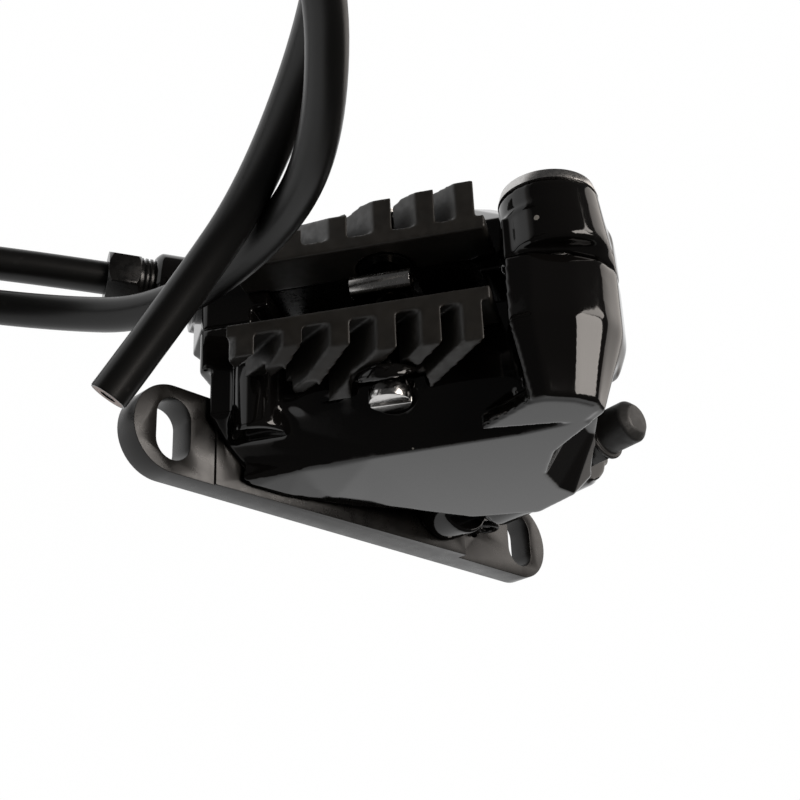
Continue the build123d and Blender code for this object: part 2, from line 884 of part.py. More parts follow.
def bleed_nipple():
    axis = nipple_axis()
    seat = nipple_point(boss_top)
    stem_start = nipple_collar_height + nipple_hex_height
    nipple = rod(seat, axis, nipple_thread_radius, -nipple_seat_depth, 0)
    nipple += rod(seat, axis, nipple_collar_radius, 0, nipple_collar_height)
    plane = Plane(origin=seat, z_dir=axis).offset(nipple_collar_height)
    nipple += extrude(plane * hexagon(nipple_hex_across), amount=nipple_hex_height)
    stem_end = stem_start + nipple_stem_height
    nipple += rod(seat, axis, nipple_stem_radius, stem_start, stem_end)
    nipple += rod(seat, axis, nipple_barb_radius, stem_end, stem_end + nipple_barb_height)
    nipple -= rod(seat, axis, nipple_bore_radius, -nipple_port_depth, overrun)
    return nipple


def cap_start():
    return nipple_collar_height + nipple_hex_height + seat_gap


def bleed_cap():
    axis = nipple_axis()
    seat = nipple_point(boss_top)
    stem_start = nipple_collar_height + nipple_hex_height
    inner_end = stem_start + nipple_stem_height + nipple_barb_height + cap_gap
    radius = nipple_barb_radius + cap_gap + cap_wall
    cap = rod(seat, axis, radius, cap_start(), inner_end + cap_top)
    cap = chamfer(cap.edges().group_by(Axis.Z)[-1], cap_edge_break)
    cap += rod(seat, axis, radius + cap_skirt, cap_start(), cap_start() + cap_skirt)
    cap -= rod(seat, axis, nipple_barb_radius + cap_gap, cap_start(), inner_end)
    return cap


def hose_nut():
    d = inlet_direction()
    face = inlet_point(nut_thread_shown)
    turn = radians(nut_turn)
    hexagon_plane = Plane(origin=face, x_dir=(0, -sin(turn), cos(turn)), z_dir=d)
    nut = extrude(hexagon_plane * hexagon(nut_across), amount=nut_hex_length)
    rounded = rod(face, d, nut_across * hexagon_corner_share, 0, nut_hex_length)
    rounded = chamfer(rounded.edges(), nut_chamfer)
    nut = nut & rounded
    nut += rod(face, d, nut_thread_radius, -nut_thread_length, 0)
    for index in range(nut_ring_count):
        start = -nut_thread_shown + nut_ring_width + index * (nut_ring_width + nut_ring_width)
        ring = rod(face, d, nut_thread_radius + nut_ring_depth, start, start + nut_ring_width)
        nut += ring
    nut -= rod(face, d, hose_radius + bolt_clearance, -overrun, overrun)
    return nut


def hose_inner_end():
    """How far inside the inlet's face the hose ends, beyond the nut."""
    return nut_thread_length - nut_thread_shown + olive_length


def olive():
    d = inlet_direction()
    end = nut_thread_length - nut_thread_shown
    ring = rod(inlet_point(0), d, hose_radius + olive_wall, -end - olive_length, -end)
    return ring - rod(inlet_point(0), d, hose_radius + seat_gap, -overrun, overrun)


def hose_insert():
    """The barbed tube pressed in the hose's end, with its flange at the seat."""
    d = inlet_direction()
    end = hose_inner_end()
    insert = rod(inlet_point(0), d, insert_head_radius, -end - insert_head_thickness, -end)
    insert += rod(inlet_point(0), d, hose_bore_radius - seat_gap, -end, insert_length - end)
    return insert - rod(inlet_point(0), d, insert_bore_radius, -overrun, overrun)


def turn_radii(points):
    """As large a radius at each corner as its two runs allow."""
    radii = []
    for a, b, c in zip(points, points[1:], points[2:]):
        before = Vector(*b) - Vector(*a)
        after = Vector(*c) - Vector(*b)
        half = radians(before.get_angle(after)) / 2
        radii.append(turn_share * min(before.length, after.length) / tan(half))
    return radii


def hose_points():
    return [inlet_point(-hose_inner_end()), inlet_point(hose_straight), *hose_route, hose_end]


def brake_hose():
    points = hose_points()
    radii = turn_radii(points)
    runs = [(Vector(*b) - Vector(*a)).length for a, b in zip(points, points[1:])]
    print("hose runs", [round(r, 1) for r in runs])
    print("hose radii", [round(r, 1) for r in radii])
    path = FilletPolyline(*points, radius=radii)
    start = Plane(origin=path @ 0, z_dir=path % 0)
    tube = sweep(start * (Circle(hose_radius) - Circle(hose_bore_radius)), path=path)
    section = pi * (hose_radius**2 - hose_bore_radius**2)
    print("hose length", round(path.length, 1))
    print("hose volume", round(tube.volume), "expected", round(section * path.length))
    return tube


def solids_of(*shapes):
    return Compound(children=[s for shape in shapes for s in shape.solids()])


def all_parts():
    parts = {
        "outboard_body_half": outboard_body_half(),
        "inboard_body_half": inboard_body_half(),
        "adapter_plate": adapter_plate(),
        "upper_body_bolt": upper_body_bolt(),
        "lower_body_bolt": lower_body_bolt(),
        "caliper_fixing_bolts": solids_of(*[fixing_bolt(x) for x in fixing_places()]),
        "bolt_fixing_clip": fixing_clip(),
        "crossover_seal": crossover_seal(),
        "pad_axle": pad_axle(),
        "axle_clip": axle_clip(),
        "pad_spring": pad_spring(),
        "bleed_nipple": bleed_nipple(),
        "bleed_cap": bleed_cap(),
        "hose_nut": hose_nut(),
        "olive": olive(),
        "hose_insert": hose_insert(),
        "brake_hose": brake_hose(),
    }
    for name, side in (("outboard", 1), ("inboard", -1)):
        parts["piston_" + name] = piston(side)
        parts["piston_seal_" + name] = piston_seal(side)
        parts["pad_backplate_" + name] = pad_backplate(side)
        parts["pad_friction_" + name] = pad_friction(side)
        parts["pad_fins_" + name] = pad_fins(side)
    return parts


def main():
    os.makedirs("parts", exist_ok=True)
    for name, shape in all_parts().items():
        export_step(shape, "parts/" + name + ".step")


main()
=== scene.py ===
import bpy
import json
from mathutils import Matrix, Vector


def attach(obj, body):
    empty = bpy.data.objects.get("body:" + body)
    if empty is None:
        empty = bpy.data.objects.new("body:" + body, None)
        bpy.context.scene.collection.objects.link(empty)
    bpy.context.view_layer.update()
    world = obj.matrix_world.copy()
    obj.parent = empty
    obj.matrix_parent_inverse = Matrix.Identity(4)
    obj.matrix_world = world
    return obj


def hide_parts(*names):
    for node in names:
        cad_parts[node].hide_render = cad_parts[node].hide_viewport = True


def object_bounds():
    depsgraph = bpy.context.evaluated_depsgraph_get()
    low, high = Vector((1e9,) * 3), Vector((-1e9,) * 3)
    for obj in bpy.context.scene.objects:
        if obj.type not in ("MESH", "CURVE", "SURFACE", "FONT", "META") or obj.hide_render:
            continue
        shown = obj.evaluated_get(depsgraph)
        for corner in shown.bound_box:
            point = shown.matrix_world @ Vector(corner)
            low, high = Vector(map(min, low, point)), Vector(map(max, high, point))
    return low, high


bl_info = {
    "name": "Flat Mount Brake Caliper",
    "version": (1, 0, 0),
    "blender": (4, 5, 0),
    "location": "View3D > Sidebar > Caliper",
    "description": "Dresses a disc brake caliper, its adapter plate and its hose for a studio picture",
    "category": "Object",
}

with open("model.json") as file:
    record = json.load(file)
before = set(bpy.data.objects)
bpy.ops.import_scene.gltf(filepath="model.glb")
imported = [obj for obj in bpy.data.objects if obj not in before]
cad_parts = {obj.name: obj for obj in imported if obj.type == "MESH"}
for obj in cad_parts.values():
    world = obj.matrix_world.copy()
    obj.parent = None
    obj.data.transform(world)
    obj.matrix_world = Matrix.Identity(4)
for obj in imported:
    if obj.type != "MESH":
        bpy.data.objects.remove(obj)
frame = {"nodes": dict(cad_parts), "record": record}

import json
from math import cos, radians, sin

import bpy
from bpy.props import FloatProperty, FloatVectorProperty, IntProperty, PointerProperty
from mathutils import Matrix, Vector

# Metres throughout: X along the adapter plate, -Y outboard, Z up from the fork's seat.
MM = 0.001
CAD_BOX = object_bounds()
SIDES = ("outboard", "inboard")

# The middle of the rotor's thickness between the pistons, and three directions from there:
# along the rotor's edge, away from its hub, and outboard.
ROTOR_TILT = radians(58.0)
ROTOR_MIDDLE = Vector((-7.1, 16.5, 18.4)) * MM
ALONG = Vector((cos(ROTOR_TILT), 0, sin(ROTOR_TILT)))
AWAY = Vector((-sin(ROTOR_TILT), 0, cos(ROTOR_TILT)))
OUT = Vector((0, -1, 0))


def local(along, away, out):
    """A point from the rotor's middle, in millimetres along, away and out."""
    return ROTOR_MIDDLE + (ALONG * along + AWAY * away + OUT * out) * MM


# The camera's place, the directions of its picture's right and top, and its lens.
CAMERA_PLACE = Vector((-129.44, -75.33, 139.13)) * MM
CAMERA_RIGHT = Vector((0.7132, -0.0400, 0.6998)).normalized()
CAMERA_TOP = Vector((-0.2787, 0.8998, 0.3356))
CAMERA_LENS = 60.36
CAMERA_SENSOR = 36.0
CAMERA_NEAREST = 5 * MM
CAMERA_FURTHEST = 20.0

# The hose leaves its inlet along the plate and a little down. The nut's outer face, the hose's
# inner end and the end of its straight run are measured along that way from the inlet's face.
INLET_FACE = Vector((-29.9, 30.7, -10.3)) * MM
INLET_WAY = Vector((-0.8982, 0.0314, -0.4384))
NUT_OUTER = 6.9 * MM
HOSE_INNER = -6.7 * MM
HOSE_STRAIGHT = 15.5 * MM
HOSE_ROUTE = [
    (-62.5, 31.2, -27.0),
    (-83.0, 31.0, -31.6),
    (-104.5, 30.7, -28.6),
    (-123.5, 30.3, -17.8),
    (-137.0, 29.9, -0.2),
    (-142.6, 29.6, 21.0),
    (-138.0, 29.2, 42.0),
    (-125.0, 28.8, 60.0),
    (-105.9, 28.2, 70.4),
    (-82.9, 28.0, 71.4),
    (-58.5, 29.6, 61.9),
    (-43.9, 19.5, 45.3),
    (-37.7, 17.2, 27.9),
    (-37.4, 16.6, 3.4),
    (-45.5, 21.7, -14.2),
    (-66.0, 24.2, -28.8),
    (-88.7, 24.6, -36.2),
    (-112.2, 24.6, -34.0),
    (-132.8, 25.0, -21.4),
    (-146.4, 26.1, -0.8),
    (-151.0, 27.6, 23.4),
    (-145.6, 28.7, 47.0),
    (-130.8, 29.8, 66.0),
    (-109.4, 31.0, 77.6),
    (-85.4, 32.6, 79.4),
    (-64.2, 34.2, 70.3),
    (-50.0, 33.0, 53.0),
    (-43.0, 21.0, 32.0),
    (-45.3, 9.5, 20.0),
    (-50.5, -3.1, 12.5),
]

# The disc on the hose's cut end, the rims that are inset on it, and its bore. Faces further out
# than the liner's radius are the jacket's.
CUT_RADIUS = 2.42 * MM
CUT_THICKNESS = 0.3 * MM
CUT_RIM = 0.28 * MM
LINER_WALL = 1.05 * MM
BORE_DEPTH = 1.2 * MM
LINER_RADIUS = 2.1 * MM

# The outboard half's apron at the hose end, which hangs a little past the plate, by X, Y and Z.
APRON = [
    (-24.3, -5.0, 5.5),
    (-22.3, -5.5, 5.0),
    (-16.2, -5.45, 5.2),
    (-8.6, -4.7, 5.7),
    (-2.5, -4.15, 7.0),
    (5.2, -4.0, 11.5),
    (-14.4, -4.0, 20.2),
    (-19.5, -4.2, 11.9),
]
APRON_WAY = Vector((0, 2.6, 0)) * MM

# Round forms: the middles of both ends, and the radius at each.
TALL_BOSS = (local(-16.7, 10.2, 6.6), local(-16.7, 10.2, 16.8), 4.0 * MM, 4.0 * MM)
BLEED_SKIRT = (Vector((18.3, 5.9, 13.0)) * MM, Vector((22.5, 6.0, 28.3)) * MM, 9.5 * MM, 6.6 * MM)
COLUMN_CROWN = (local(25.7, 13.6, -1.2), local(25.4, 14.4, -10.2), 7.5 * MM, 6.7 * MM)
WASHER = (local(25.4, 14.4, -9.8), local(25.4, 14.4, -11.3), 6.8 * MM, 6.4 * MM)
WASHER_HOLE = (local(25.4, 14.4, -9.0), local(25.4, 14.4, -12.0), 4.8 * MM, 4.8 * MM)

# The basin beside the axle: its middle, and how far it reaches along, away and out.
BASIN = (local(-7.0, 14.2, 14.6), (4.6 * MM, 3.6 * MM, 2.4 * MM))

# The block that slopes the flank above the face: its corners, along, away and out.
FLANK_SLOPE = [
    (-8.5, 6.3, 21.1),
    (18.6, 7.9, 21.1),
    (-8.5, 13.3, 11.8),
    (18.6, 14.9, 11.8),
    (-8.5, 11.7, 26.0),
    (18.6, 13.3, 26.0),
    (-8.5, 21.7, 18.0),
    (18.6, 23.3, 18.0),
]

# The block that cuts the dark crease between the face and the column's toe, the same way.
CREASE = [
    (18.0, 7.85, 21.1),
    (27.6, 9.7, 21.1),
    (18.0, 9.6, 18.4),
    (27.6, 10.0, 20.1),
    (18.0, 11.2, 21.6),
    (27.6, 10.6, 21.6),
    (18.0, 11.0, 18.6),
    (27.6, 10.4, 20.3),
]

# The block that is the flank's left part below the tall boss, the same way.
LEFT_WEDGE = [
    (-20.6, 3.0, 13.0),
    (-1.3, 3.0, 13.0),
    (-20.6, 3.0, 20.2),
    (-1.3, 3.0, 20.3),
    (-20.6, 10.4, 13.6),
    (-1.3, 12.4, 13.6),
    (-20.6, 5.6, 20.3),
    (-1.3, 7.3, 20.4),
]

# The notch that shows the nipple's hexagon past the face's edge, by X and Z.
NOTCH = [
    (-2.2, 48.9),
    (-0.5, 46.4),
    (0.5, 43.3),
    (2.3, 38.5),
    (3.8, 35.0),
    (8.5, 29.7),
    (14.0, 27.6),
    (36.0, 27.6),
    (36.0, 51.1),
]
NOTCH_FRONT = -6.0
NOTCH_WAY = Vector((0, 8.4, 8.4)) * MM

# The bleed boss's rim round the nipple's seat, by X and Y.
BLEED_RIM = [
    (11.5, 2.5),
    (13.2, 1.0),
    (16.4, 1.4),
    (19.8, 0.7),
    (23.4, 0.3),
    (26.1, 2.4),
    (28.7, 4.2),
    (29.3, 7.0),
    (28.0, 10.0),
    (22.0, 11.5),
    (14.0, 10.0),
]
BLEED_RIM_HEIGHT = 28.4
BLEED_RIM_WAY = Vector((-0.8, -2.2, -5.0)) * MM

# The column's foot, which runs out in a point over the crease, along and away.
COLUMN_TOE = [
    (13.6, 11.4),
    (22.0, 10.3),
    (26.8, 9.6),
    (28.6, 12.1),
    (28.4, 13.8),
    (26.3, 15.9),
    (24.1, 17.0),
    (22.8, 17.4),
    (20.5, 17.2),
]
TOE_FRONT = 20.5
TOE_WAY = OUT * -2.4 * MM

# Where the halves are smoothed further: place, reach in millimetres and repeats.
RELAXED = {
    "outboard": [
        (local(-9.0, 10.0, 17.0), 10.0, 24),
        (local(2.3, 15.0, 15.0), 6.0, 20),
        (Vector((13.0, -4.0, 22.0)) * MM, 7.0, 25),
        (local(37.0, 6.0, 8.0), 16.0, 90),
        (local(31.0, 18.5, 3.0), 9.0, 60),
    ],
    "inboard": [
        (local(37.0, 6.0, -4.0), 14.0, 60),
        (local(31.0, 18.5, -3.0), 9.0, 60),
    ],
}

# What shortens the near comb's fingers: from and to along the rotor's edge, and the start
# outboard. All three cuts end at the same place outboard and cross the same band away.
FINGER_CUTS = [
    (-24.0, -13.7, 9.3),
    (-14.5, -11.0, 10.4),
    (-12.0, -7.0, 12.3),
]
FINGER_CUT_OUTER = 18.0
FINGER_CUT_BAND = (5.0, 25.0)

# Bare steel is bright past these places and painted dark before them, as shade: outboard on the axle,
# away from the hub on the spring; the rest is bright everywhere.
AXLE_BRIGHT = -6.0 * MM
SPRING_BRIGHT = ROTOR_MIDDLE.dot(AWAY) + 17.7 * MM
ALL_BRIGHT = -1.0

# How the meshes are cleaned, smoothed and thinned.
MERGE_DISTANCE = 0.002 * MM
FLAT_ANGLE = radians(1.0)
SHARP_ANGLE = radians(32.0)
SHADE_ANGLE = radians(40.0)
SMOOTHING = 0.5
RELAXING = 0.6
MOST_TRIANGLES = 180000

# The soft lamps: name, place, width and power.
LAMPS = [
    ("overhead_softbox", (0.08, 0.05, 1.0), 0.55, 8.5),
    ("side_softbox", (1.05, 0.50, 0.40), 0.9, 3.7),
    ("edge_lamp", (0.30, 0.43, 0.85), 0.25, 1.2),
]
LAMP_COLOUR = (1.0, 0.93, 0.87)
WORLD_GLOW = 0.06
WHITE = (1.0, 1.0, 1.0, 1.0)

# The paper under the caliper: its width, its grey, how much of the picture of it is plain white,
# and the distances between which reflections of it fade to the share that is left.
PAPER_WIDTH = 6.0
PAPER_GREY = (0.6, 0.6, 0.6, 1.0)
PAPER_WHITE = 0.996
PAPER_REACH = 0.38
PAPER_END = 1.8 * PAPER_REACH
PAPER_LEFT = 0.1


def length(name, description, default):
    """A size that a user may change."""
    return FloatProperty(name=name, description=description, default=default, unit="LENGTH")


def tint(name, description, default):
    """A colour that a user may change."""
    return FloatVectorProperty(name=name, description=description, default=default, subtype="COLOR")


class CaliperSizes(bpy.types.PropertyGroup):
    """Sizes of the dressed caliper that a user may change"""

    voxel: length("Casting Detail", "Voxel size that the castings are rounded with", 0.25 * MM)
    casting_smoothing: IntProperty(
        name="Casting Smoothing",
        description="How often the castings' corners are relaxed",
        default=10,
    )
    plate_edge: length("Plate Edge", "Rounding of the adapter plate's edges", 0.25 * MM)
    fin_voxel: length("Fin Detail", "Voxel size that the cooling fins are rounded with", 0.24 * MM)
    steel_edge: length("Steel Edge", "Rounding of screws, nuts and clips", 0.12 * MM)
    cap_edge: length("Cap Edge", "Rounding of the bleed cap's edges", 0.3 * MM)
    hose_radius: length("Hose Radius", "Outer radius of the brake hose", 2.5 * MM)
    hose_length: length("Hose Length", "Real length of the brake hose", 0.691)
    floor_drop: length("Floor Drop", "Gap between the hose's lowest loop and the floor", 25 * MM)


class CaliperColours(bpy.types.PropertyGroup):
    """Colours of the dressed caliper that a user may change"""

    paint: tint("Casting Paint", "Gloss paint of both body halves", (0.0040, 0.0036, 0.0034))
    plate: tint("Plate Anodising", "Satin finish of the adapter plate", (0.0060, 0.0056, 0.0052))
    fins: tint("Fins", "Dark coating of the cooling fins", (0.0125, 0.0115, 0.0100))
    steel: tint("Bright Steel", "Machined and polished steel", (0.62, 0.61, 0.60))
    oxide: tint("Black Steel", "Blackened screws and nuts", (0.0085, 0.0085, 0.0085))
    rubber: tint("Rubber", "Bleed cap and seals", (0.0140, 0.0138, 0.0135))
    hose: tint("Hose Jacket", "Outer jacket of the hose", (0.0050, 0.0050, 0.0048))
    liner: tint("Hose Liner", "Cut face of the hose's liner", (0.42, 0.30, 0.26))
    brass: tint("Brass", "Olive and insert of the hose fitting", (0.72, 0.50, 0.22))
    # The pads' resin is dark of its own, and set darker still as painted shade deep between the pads.
    friction: tint("Friction Block", "Resin of the brake pads", (0.016, 0.0145, 0.013))
    piston: tint("Piston", "Moulded pistons", (0.62, 0.58, 0.50))


class Sum:
    """A node's output that takes part in Python sums."""

    def __init__(self, finish, socket):
        self.finish = finish
        self.socket = socket

    def maths(self, operation, *others):
        """A Math node of this output and the others, in that order."""
        values = dict(enumerate([self, *others]))
        return self.finish.node("ShaderNodeMath", {"operation": operation}, values)

    def __add__(self, other):
        return self.maths("ADD", other)

    def __radd__(self, other):
        return self.maths("ADD", other)

    def __sub__(self, other):
        return self.maths("SUBTRACT", other)

    def __rsub__(self, other):
        return self.finish.node("ShaderNodeMath", {"operation": "SUBTRACT"}, {0: other, 1: self})

    def __mul__(self, other):
        return self.maths("MULTIPLY", other)

    def __rmul__(self, other):
        return self.maths("MULTIPLY", other)

    def __lt__(self, other):
        return self.maths("LESS_THAN", other)

    def __gt__(self, other):
        return self.maths("GREATER_THAN", other)

    def high(self, other):
        """The higher of two values."""
        return self.maths("MAXIMUM", other)


class Finish:
    """A material and the nodes that it is made of."""

    def __init__(self, name):
        self.material = bpy.data.materials.new(name)
        self.material.use_nodes = True
        self.tree = self.material.node_tree
        self.tree.nodes.clear()
        self.end = self.tree.nodes.new("ShaderNodeOutputMaterial")
        self.place = self.tree.nodes.new("ShaderNodeTexCoord").outputs["Object"]

    def node(self, kind, settings=None, values=None, output=0):
        """A node of that type, with its settings first and then its sockets' values or links."""
        made = self.tree.nodes.new(kind)
        for key, value in (settings or {}).items():
            setattr(made, key, value)
        for key, value in (values or {}).items():
            self.join(made.inputs[key], value)
        return Sum(self, made.outputs[output])

    def join(self, socket, value):
        """Links a socket to an output, or gives it a plain value."""
        if isinstance(value, Sum):
            value = value.socket
        if isinstance(value, bpy.types.NodeSocket):
            self.tree.links.new(value, socket)
        else:
            socket.default_value = value

    def noise(self, scale, detail=2.0, roughness=0.5):
        """Grey noise over the object's own coordinates, from 0 to 1."""
        values = {"Vector": self.place, "Scale": scale, "Detail": detail, "Roughness": roughness}
        return self.node("ShaderNodeTexNoise", values=values)

    def ramp(self, value, low, high, bottom=0.0, top=1.0):
        """What goes from bottom to top as the value goes from low to high."""
        settings = {"clamp": True, "interpolation_type": "SMOOTHSTEP"}
        values = {"Value": value, "From Min": low, "From Max": high, "To Min": bottom, "To Max": top}
        return self.node("ShaderNodeMapRange", settings, values)

    def colour(self, factor, first, second):
        """A mix of two colours, whose sockets on a Mix node have only their numbers."""
        values = {0: factor, 6: full(first), 7: full(second)}
        return self.node("ShaderNodeMix", {"data_type": "RGBA"}, values, output=2)

    def bump(self, height, strength, distance):
        """The height as a fine relief."""
        values = {"Height": height, "Strength": strength, "Distance": distance}
        return self.node("ShaderNodeBump", values=values)

    def specks(self, scale, share, radius=0.16):
        """Small round marks at random places, over the given share of the cells."""
        values = {"Vector": self.place, "Scale": scale, "Randomness": 1.0}
        middle = self.node("ShaderNodeTexVoronoi", {"feature": "F1"}, values, output="Distance")
        cell = self.node("ShaderNodeTexVoronoi", {"feature": "F1"}, values, output="Color")
        pick = self.node("ShaderNodeSeparateXYZ", values={"Vector": cell}, output="X")
        return (middle < radius) * (pick < share)

    def shader(self, **values):
        """The surface's main shader, joined to the material's end."""
        shader = self.tree.nodes.new("ShaderNodeBsdfPrincipled")
        for key, value in values.items():
            label = key.replace("_", " ").title().replace("Ior", "IOR")
            self.join(shader.inputs[label], value)
        self.tree.links.new(shader.outputs[0], self.end.inputs["Surface"])
        return self.material


def full(colour):
    """A colour with its fourth value."""
    if isinstance(colour, Sum):
        return colour
    return (*colour[:3], 1.0)


def colours():
    """The user's colours."""
    return bpy.context.scene.caliper_colours


def sizes():
    """The user's sizes."""
    return bpy.context.scene.caliper_sizes


def casting_paint():
    """Thick gloss paint with a faint orange peel and a little dust."""
    finish = Finish("casting_paint")
    dusty = (0.30, 0.29, 0.27)
    haze = finish.noise(160, 3)
    dust = finish.specks(420, 0.012)
    base = finish.colour(dust, colours().paint, dusty)
    roughness = finish.ramp(haze, 0.3, 0.75, 0.06, 0.11) + dust * 0.4
    peel = finish.bump(finish.noise(900), 0.05, 0.05 * MM)
    return finish.shader(base_color=base, roughness=roughness, ior=1.41, normal=peel)


def plate_anodising():
    """Satin black anodising, a little cloudy and finely grained."""
    finish = Finish("plate_anodising")
    lighter = (0.011, 0.010, 0.009)
    cloud = finish.ramp(finish.noise(220, 3), 0.3, 0.7)
    base = finish.colour(cloud, colours().plate, lighter)
    grain = finish.bump(finish.noise(2600), 0.12, 0.02 * MM)
    roughness = finish.ramp(finish.noise(500, 3), 0.3, 0.7, 0.26, 0.34)
    return finish.shader(base_color=base, roughness=roughness, ior=1.41, normal=grain)


def fin_coating():
    """The dark coating of the cooling fins, finely grained and lighter at their corners: partly rubbed
    off there, partly painted edge highlights.
    """
    finish = Finish("fin_coating")
    lighter = (0.020, 0.018, 0.0155)
    # The corners' light colour stands for bare metal and for painted edge highlights.
    bare = (0.26, 0.25, 0.23)
    cloud = finish.ramp(finish.noise(340, 4), 0.25, 0.75)
    coat = finish.colour(cloud, colours().fins, lighter)
    corner = finish.node("ShaderNodeNewGeometry", output="Pointiness")
    # Lighter, more metallic corners: partly real wear, partly painted highlight along the edges.
    worn_and_highlit = finish.ramp(corner, 0.56, 0.64) * finish.ramp(finish.noise(700, 4, 0.7), 0.35, 0.6)
    base = finish.colour(worn_and_highlit * 0.7, coat, bare)
    grain = finish.bump(finish.noise(3200, 3), 0.18, 0.03 * MM)
    roughness = finish.ramp(finish.noise(900, 3), 0.3, 0.7, 0.38, 0.5)
    return finish.shader(base_color=base, roughness=roughness, metallic=worn_and_highlit * 0.6, normal=grain)


def bright_steel(name, rough, way=OUT, start=ALL_BRIGHT):
    """Bare steel with fine machining lines, painted dark as shade up to the start along the way."""
    finish = Finish(name)
    duller = (0.46, 0.45, 0.44)
    painted_shade = (0.02, 0.018, 0.016)
    lines = finish.noise(2400, 2, 0.6)
    roughness = finish.ramp(lines, 0.3, 0.7, rough, rough + 0.12)
    bare = finish.colour(finish.noise(500), colours().steel, duller)
    measured = {0: finish.place, 1: way}
    along = finish.node("ShaderNodeVectorMath", {"operation": "DOT_PRODUCT"}, measured, output="Value")
    # Painted shade: dark up to the start along the way, bright steel past it.
    base = finish.colour(finish.ramp(along, start, start + 0.4 * MM), painted_shade, bare)
    ridges = finish.bump(lines, 0.15, 0.02 * MM)
    return finish.shader(base_color=base, roughness=roughness, metallic=1.0, normal=ridges)


def black_steel():
    """Blackened steel with a trace of oil."""
    finish = Finish("black_steel")
    lighter = (0.016, 0.0155, 0.015)
    cloud = finish.ramp(finish.noise(700, 3), 0.3, 0.7)
    base = finish.colour(cloud, colours().oxide, lighter)
    roughness = finish.ramp(finish.noise(1300), 0.3, 0.7, 0.24, 0.34)
    oil = {"coat_weight": 0.2, "coat_roughness": 0.2}
    return finish.shader(base_color=base, roughness=roughness, metallic=0.6, **oil)


def rubber():
    """Moulded rubber, a little dusty."""
    finish = Finish("rubber")
    dusty = (0.018, 0.0178, 0.0175)
    cloud = finish.noise(800, 4)
    base = finish.colour(finish.ramp(cloud, 0.3, 0.8), colours().rubber, dusty)
    grain = finish.bump(finish.noise(4000), 0.2, 0.03 * MM)
    roughness = finish.ramp(cloud, 0.3, 0.7, 0.45, 0.6)
    return finish.shader(base_color=base, roughness=roughness, normal=grain)


def hose_jacket():
    """The hose's extruded jacket: satin, with faint rub marks."""
    finish = Finish("hose_jacket")
    rubbed = (0.018, 0.017, 0.0165)
    cloud = finish.noise(90, 4)
    rubs = finish.ramp(finish.noise(500, 4, 0.7), 0.62, 0.8)
    base = finish.colour(rubs * 0.4, colours().hose, rubbed)
    roughness = finish.ramp(cloud, 0.3, 0.7, 0.30, 0.38) + rubs * 0.12
    skin = finish.bump(finish.noise(1500), 0.06, 0.03 * MM)
    return finish.shader(base_color=base, roughness=roughness, ior=1.40, normal=skin)


def hose_liner():
    """The cut end of the hose's inner tube."""
    finish = Finish("hose_liner")
    darker = (0.30, 0.22, 0.20)
    base = finish.colour(finish.noise(3000), colours().liner, darker)
    return finish.shader(base_color=base, roughness=0.5)


def brass():
    """Turned brass, a little dulled."""
    finish = Finish("brass")
    duller = (0.55, 0.38, 0.17)
    base = finish.colour(finish.noise(900), colours().brass, duller)
    roughness = finish.ramp(finish.noise(2500), 0.3, 0.7, 0.2, 0.34)
    return finish.shader(base_color=base, roughness=roughness, metallic=1.0)


def friction_resin():
    """Pressed friction compound with metal flecks."""
    finish = Finish("friction_resin")
    metal = (0.07, 0.055, 0.035)
    flecks = finish.specks(1600, 0.25)
    base = finish.colour(flecks, colours().friction, metal)
    grain = finish.bump(finish.noise(2200, 4), 0.5, 0.1 * MM)
    return finish.shader(base_color=base, roughness=0.85 - flecks * 0.3, normal=grain)


def moulded_piston():
    """The pistons' pale moulded resin."""
    finish = Finish("moulded_piston")
    darker = (0.5, 0.46, 0.39)
    base = finish.colour(finish.noise(600, 3), colours().piston, darker)
    roughness = finish.ramp(finish.noise(1500), 0.3, 0.7, 0.3, 0.4)
    return finish.shader(base_color=base, roughness=roughness)


def only(piece):
    """Selects one piece alone and makes it the active one."""
    if bpy.context.object and bpy.context.object.mode != "OBJECT":
        bpy.ops.object.mode_set(mode="OBJECT")
    bpy.ops.object.select_all(action="DESELECT")
    piece.select_set(True)
    bpy.context.view_layer.objects.active = piece


def edit(piece):
    """Opens a piece in edit mode with all of it selected."""
    only(piece)
    bpy.ops.object.mode_set(mode="EDIT")
    bpy.ops.mesh.select_all(action="SELECT")


def outward(piece):
    """Turns a closed piece's faces outwards."""
    edit(piece)
    bpy.ops.mesh.normals_make_consistent(inside=False)
    bpy.ops.object.mode_set(mode="OBJECT")
    return piece


def facing(way):
    """The turn that points an object's Z along the way."""
    return way.to_track_quat("Z", "Y").to_euler()


def finish_modifier(piece, kind, **settings):
    """Adds a modifier with its settings and applies it."""
    modifier = piece.modifiers.new(kind.title(), kind)
    for key, value in settings.items():
        setattr(modifier, key, value)
    only(piece)
    bpy.ops.object.modifier_apply(modifier=modifier.name)


def copy_of(node, name, flatten=True):
    """A clean copy of one of the frame's solids, its corners merged and flat faces joined."""
    piece = bpy.data.objects.new(name, frame["nodes"][node].data.copy())
    bpy.context.collection.objects.link(piece)
    piece.data.materials.clear()
    edit(piece)
    bpy.ops.mesh.remove_doubles(threshold=MERGE_DISTANCE)
    bpy.ops.mesh.normals_make_consistent(inside=False)
    if flatten:
        bpy.ops.mesh.dissolve_limited(angle_limit=FLAT_ANGLE)
    bpy.ops.object.mode_set(mode="OBJECT")
    return piece


def new_block(corners):
    """A block whose eight corners are given along, away and out.

    They are the corners of a cube, counted first by X, then by Y and then by Z.
    """
    bpy.ops.object.select_all(action="DESELECT")
    bpy.ops.mesh.primitive_cube_add(size=2)
    piece = bpy.context.object
    for vertex in piece.data.vertices:
        x, y, z = (value > 0 for value in vertex.co)
        vertex.co = local(*corners[x + 2 * y + 4 * z])
    return outward(piece)


def new_cone(start, end, radius_start, radius_end):
    """A round tapered bar between two points."""
    way = end - start
    bpy.ops.object.select_all(action="DESELECT")
    bpy.ops.mesh.primitive_cone_add(
        vertices=72,
        radius1=radius_start,
        radius2=radius_end,
        depth=way.length,
        location=(start + end) / 2,
        rotation=facing(way),
    )
    bpy.ops.object.transform_apply()
    return bpy.context.object


